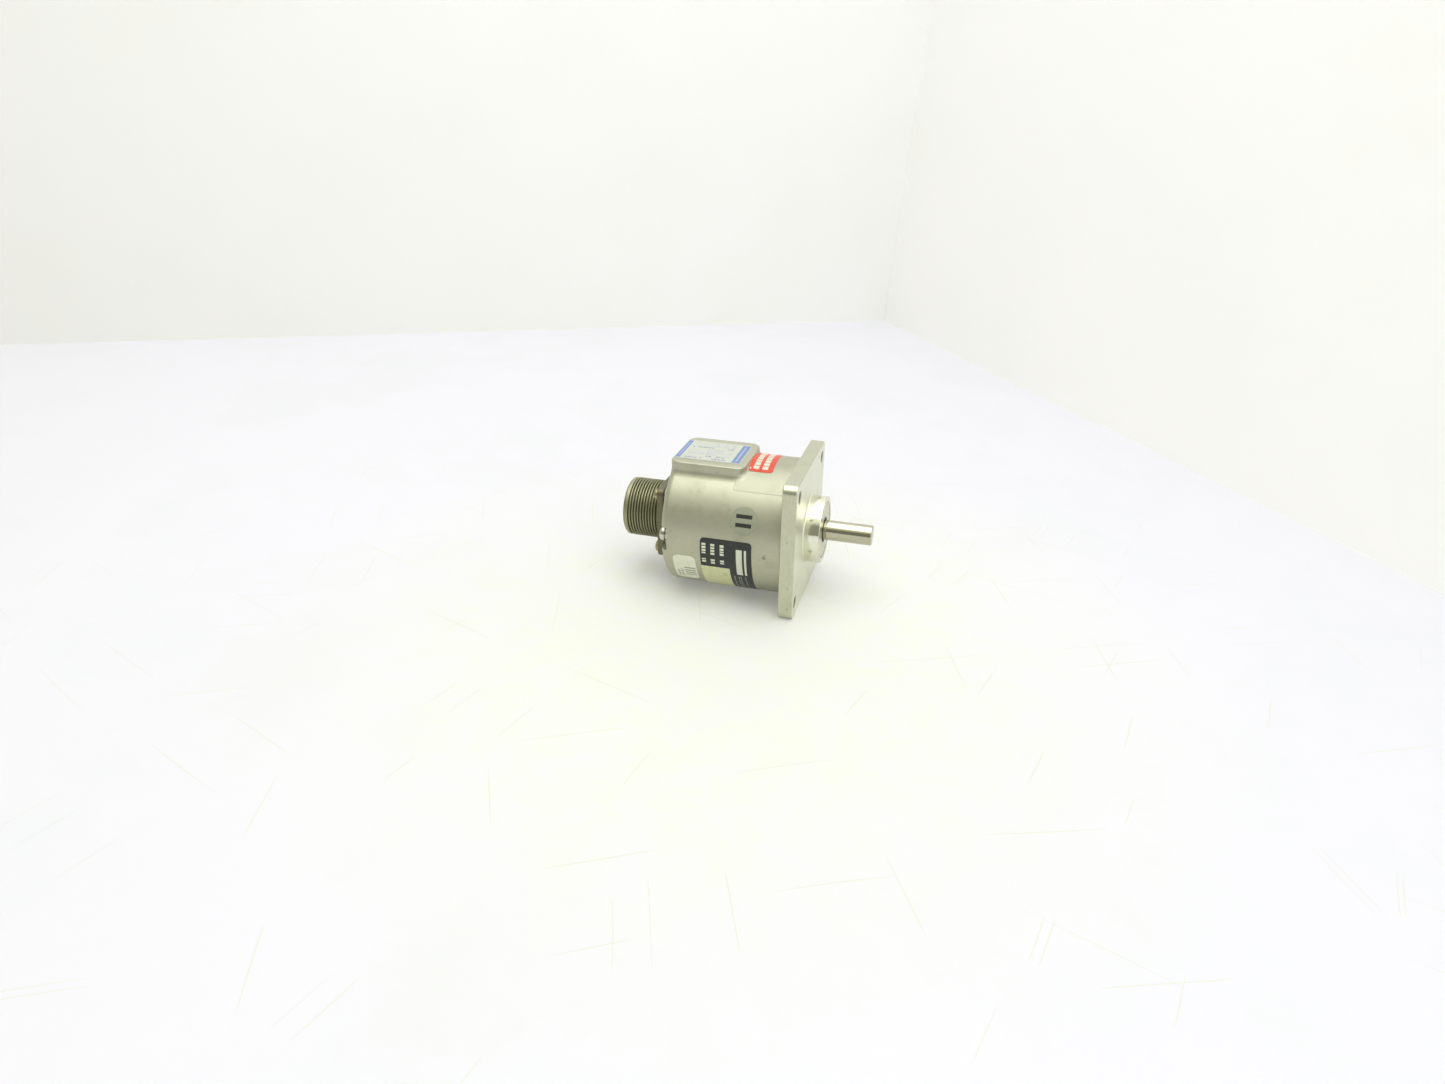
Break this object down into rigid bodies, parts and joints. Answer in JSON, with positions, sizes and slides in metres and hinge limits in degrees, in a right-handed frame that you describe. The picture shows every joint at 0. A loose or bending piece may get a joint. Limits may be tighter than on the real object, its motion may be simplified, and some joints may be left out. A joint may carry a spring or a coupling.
{
  "type": "rotary encoder",
  "caption": "Shaft rotary encoder: square mounting flange with pilot, round cover with a raised label pad, and a threaded circular receptacle at the rear.",
  "frame": {"origin": "shaft axis at the flange's front (mounting) face", "axes": "+X along the shaft towards its free end, +Z towards the raised label pad, +Y to the side"},
  "size_m": [0.119, 0.066, 0.066],
  "materials": {
    "machined_aluminium": "satin",
    "cast_aluminium": "satin",
    "polished_steel": "polished",
    "bright_steel": "satin",
    "spring_steel": "satin",
    "seal_rubber": "matte",
    "cage_plastic": "matte",
    "hub_brass": "satin",
    "disc_glass": "clear",
    "black_plastic": "matte",
    "lens_plastic": "clear",
    "board": "satin",
    "capacitor": "gloss",
    "wire_jacket": "satin",
    "olive_plating": "satin",
    "insert": "matte",
    "gold": "polished",
    "gasket": "matte",
    "label_white": "satin",
    "label_red": "satin",
    "label_black": "satin",
    "label_foil": "satin",
    "clear_tape": "clear"
  },
  "bodies": {
    "casing": {"housing": "machined_aluminium", "cover": "cast_aluminium", "cover_o_ring": "seal_rubber", "cover_screws": "bright_steel", "cover_lock_washers": "bright_steel", "cover_flat_washers": "bright_steel", "seal_carrier": "machined_aluminium", "shaft_seal": "seal_rubber", "front_outer_race": "polished_steel", "front_shields": "bright_steel", "rear_outer_race": "polished_steel", "rear_shields": "bright_steel", "preload_washer": "spring_steel", "bore_retaining_ring": "spring_steel", "light_source_bracket": "black_plastic", "light_source": "lens_plastic", "lamp_leads": "wire_jacket", "mask_plate": "disc_glass", "mask_holder": "black_plastic", "sensor_array": "insert", "sensor_board": "board", "driver_board": "board", "board_chips": "black_plastic", "board_capacitors": "capacitor", "lower_posts": "bright_steel", "middle_posts": "bright_steel", "upper_posts": "bright_steel", "harness_wires": "wire_jacket", "connector_shell": "olive_plating", "connector_insert": "insert", "connector_pins": "gold", "connector_gasket": "gasket", "connector_screws": "olive_plating", "rating_label": "label_white", "red_label": "label_red", "clear_film": "clear_tape", "black_label": "label_black", "round_sticker": "label_foil", "white_sticker": "label_white"},
    "rotor": {"shaft": "polished_steel", "shaft_snap_ring": "spring_steel", "bearing_spacer": "bright_steel", "front_inner_race": "polished_steel", "rear_inner_race": "polished_steel", "disc_hub": "hub_brass", "hub_set_screws": "spring_steel", "code_disc": "disc_glass", "disc_clamp": "hub_brass", "disc_clamp_screws": "bright_steel"},
    "front_ball_set": {"front_balls": "polished_steel", "front_cage": "cage_plastic"},
    "rear_ball_set": {"rear_balls": "polished_steel", "rear_cage": "cage_plastic"}
  },
  "joints": [
    {"name": "shaft_spin", "type": "hinge", "parent": "casing", "child": "rotor", "pos_m": [0, 0, 0], "axis": [1, 0, 0], "continuous": true},
    {"name": "front_balls_orbit", "type": "hinge", "parent": "casing", "child": "front_ball_set", "pos_m": [0, 0, 0], "axis": [1, 0, 0], "continuous": true},
    {"name": "rear_balls_orbit", "type": "hinge", "parent": "casing", "child": "rear_ball_set", "pos_m": [0, 0, 0], "axis": [1, 0, 0], "continuous": true}
  ],
  "couplings": [
    {"joint": "front_balls_orbit", "follows": "shaft_spin", "ratio": 0.375},
    {"joint": "rear_balls_orbit", "follows": "shaft_spin", "ratio": 0.375}
  ]
}
